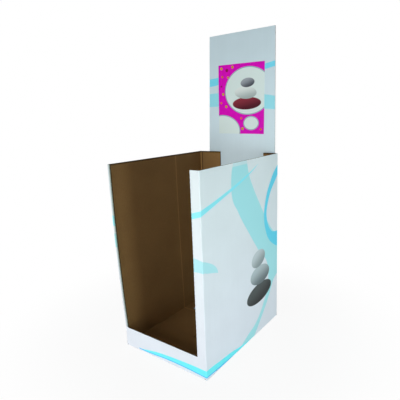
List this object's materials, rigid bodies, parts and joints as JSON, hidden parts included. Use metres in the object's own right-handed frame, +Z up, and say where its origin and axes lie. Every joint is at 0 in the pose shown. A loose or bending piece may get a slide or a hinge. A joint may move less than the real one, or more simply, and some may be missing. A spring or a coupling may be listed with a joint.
{
  "type": "cardboard display stand",
  "caption": "Tall open-fronted box of folded corrugated board with a low front lip, corner posts and a high back card with a poster, for showing stacked goods on a shop floor.",
  "frame": {"origin": "on the floor, at the centre of the rectangle around the whole stand", "axes": "+X to the right seen from the front, +Y to the back, +Z up; the window faces -Y"},
  "size_m": [0.434, 0.5554, 1.248],
  "materials": {
    "wrap_board": "white coated print outside, brown kraft inside",
    "card_board": "white coated print in front, brown kraft behind",
    "poster_paper": "satin print",
    "hot_melt": "satin"
  },
  "bodies": {
    "root": {"body_wrap": "wrap_board", "back_card": "card_board", "poster": "poster_paper", "glue_lines": "hot_melt"}
  },
  "joints": []
}
